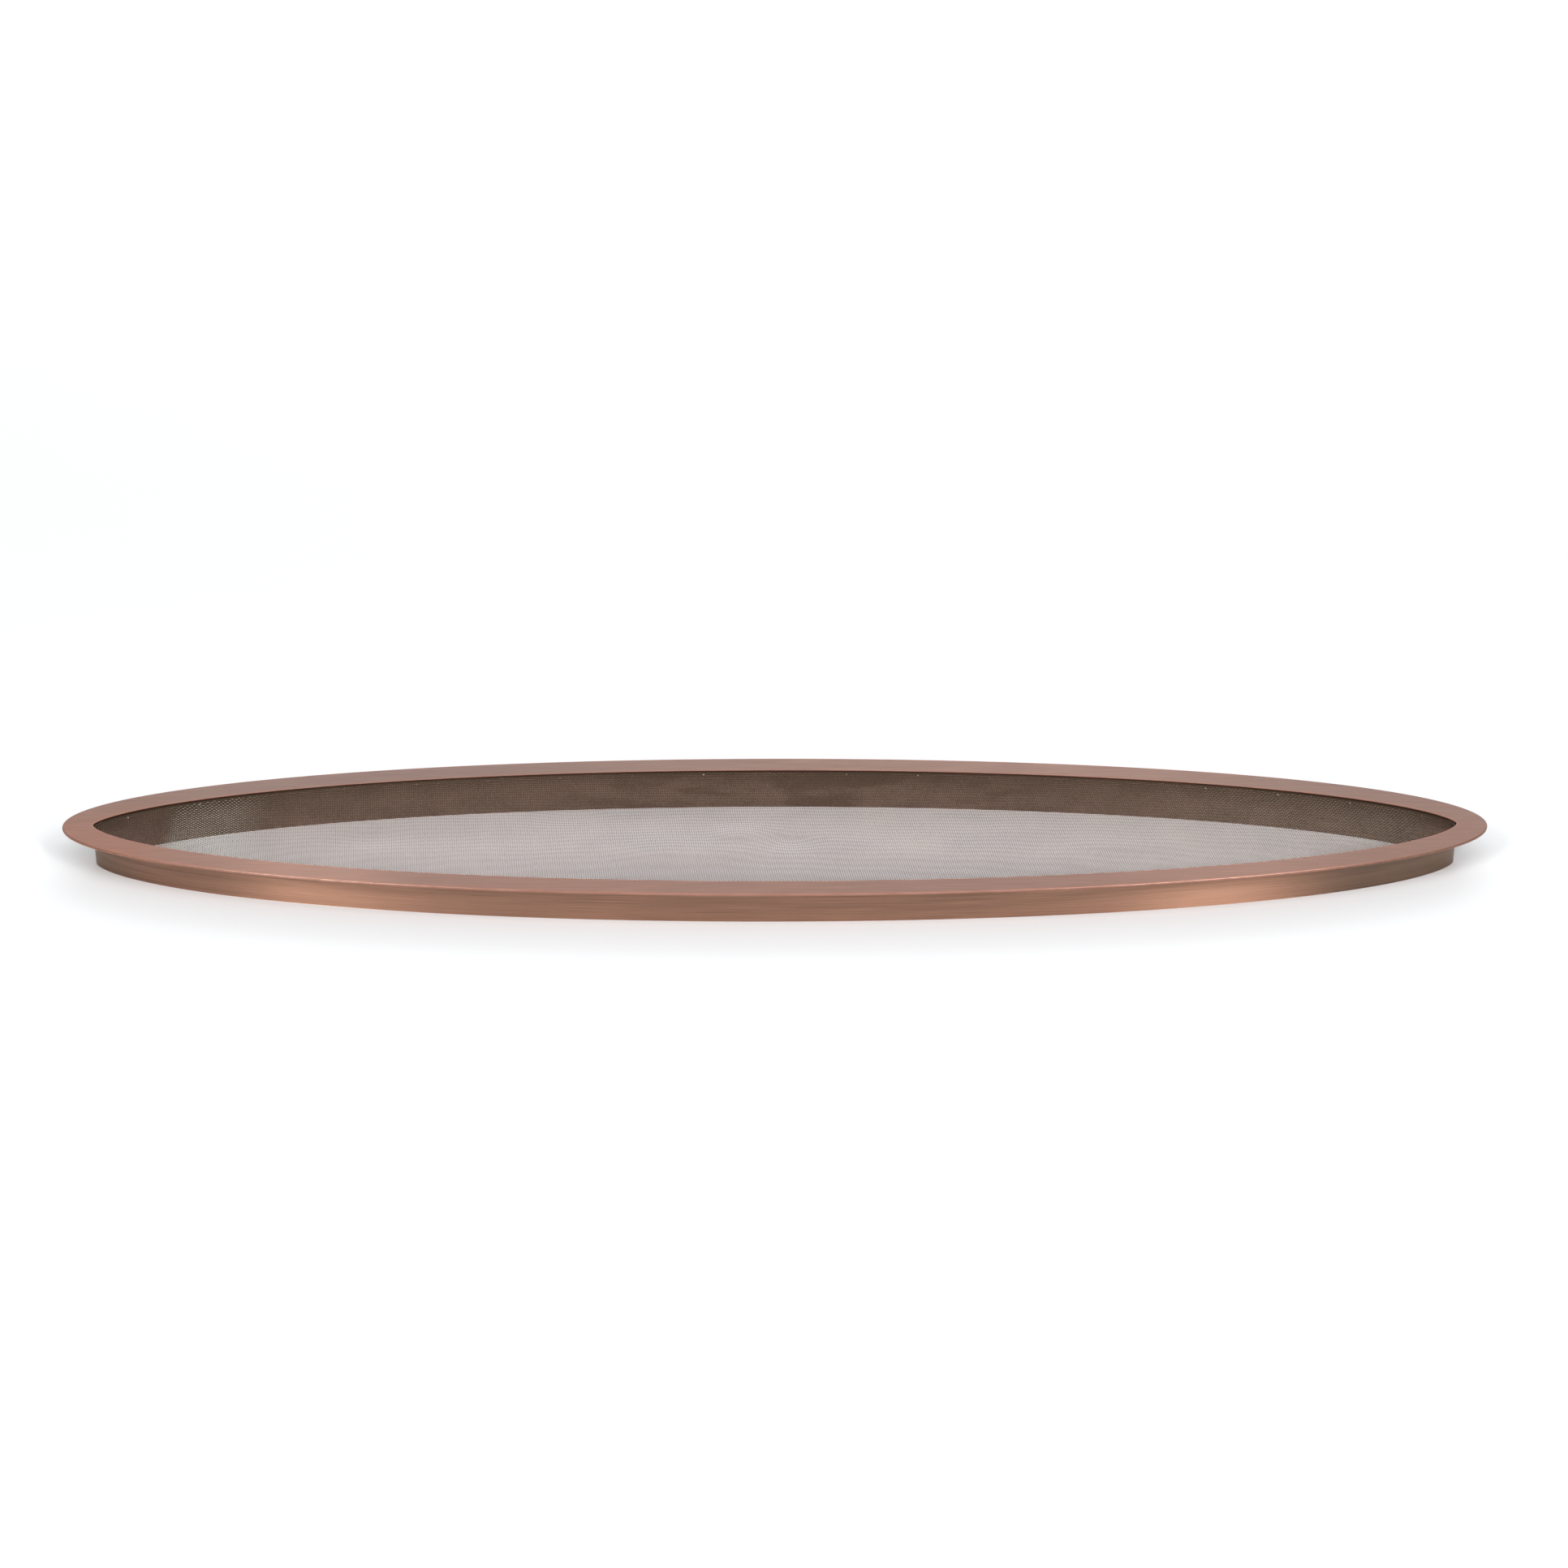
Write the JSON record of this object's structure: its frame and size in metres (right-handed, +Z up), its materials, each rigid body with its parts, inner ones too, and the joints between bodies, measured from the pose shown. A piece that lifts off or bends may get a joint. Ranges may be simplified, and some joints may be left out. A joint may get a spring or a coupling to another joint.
{
  "type": "strainer screen",
  "caption": "Long eye-shaped drop-in strainer: fine woven wire screen in a flat copper-finished rim, with an upright skirt below that stands on its lower edge.",
  "frame": {"origin": "middle of the footprint, on the surface the skirt's lower edge stands on", "axes": "+X along the length, towards the right-hand end as seen from the front; +Y to the rear; +Z up, through the screen and out of the rim's top face"},
  "size_m": [0.54, 0.11, 0.0165],
  "materials": {
    "rim_copper": "brushed along its length, antique copper plating",
    "skirt_copper": "brushed along its length, antique copper plating",
    "screen_wire": "drawn wire with a dull bronze tone, plain weave",
    "weld": "bright spot of weld metal"
  },
  "bodies": {
    "root": {"rim": "rim_copper", "skirt_front": "skirt_copper", "skirt_rear": "skirt_copper", "screen": "screen_wire", "tack_weld_01": "weld", "tack_weld_02": "weld", "tack_weld_03": "weld", "tack_weld_04": "weld", "tack_weld_05": "weld", "tack_weld_06": "weld", "tack_weld_07": "weld", "tack_weld_08": "weld", "tack_weld_09": "weld", "tack_weld_10": "weld", "tack_weld_11": "weld", "tack_weld_12": "weld", "tack_weld_13": "weld", "tack_weld_14": "weld", "tack_weld_15": "weld", "tack_weld_16": "weld", "tack_weld_17": "weld", "tack_weld_18": "weld", "tack_weld_19": "weld", "tack_weld_20": "weld", "tack_weld_21": "weld", "tack_weld_22": "weld", "tack_weld_23": "weld", "tack_weld_24": "weld", "tack_weld_25": "weld", "tack_weld_26": "weld", "tack_weld_27": "weld", "tack_weld_28": "weld", "tack_weld_29": "weld", "tack_weld_30": "weld", "tack_weld_31": "weld", "tack_weld_32": "weld", "tack_weld_33": "weld", "tack_weld_34": "weld", "tack_weld_35": "weld", "tack_weld_36": "weld", "tack_weld_37": "weld", "tack_weld_38": "weld"}
  },
  "joints": []
}
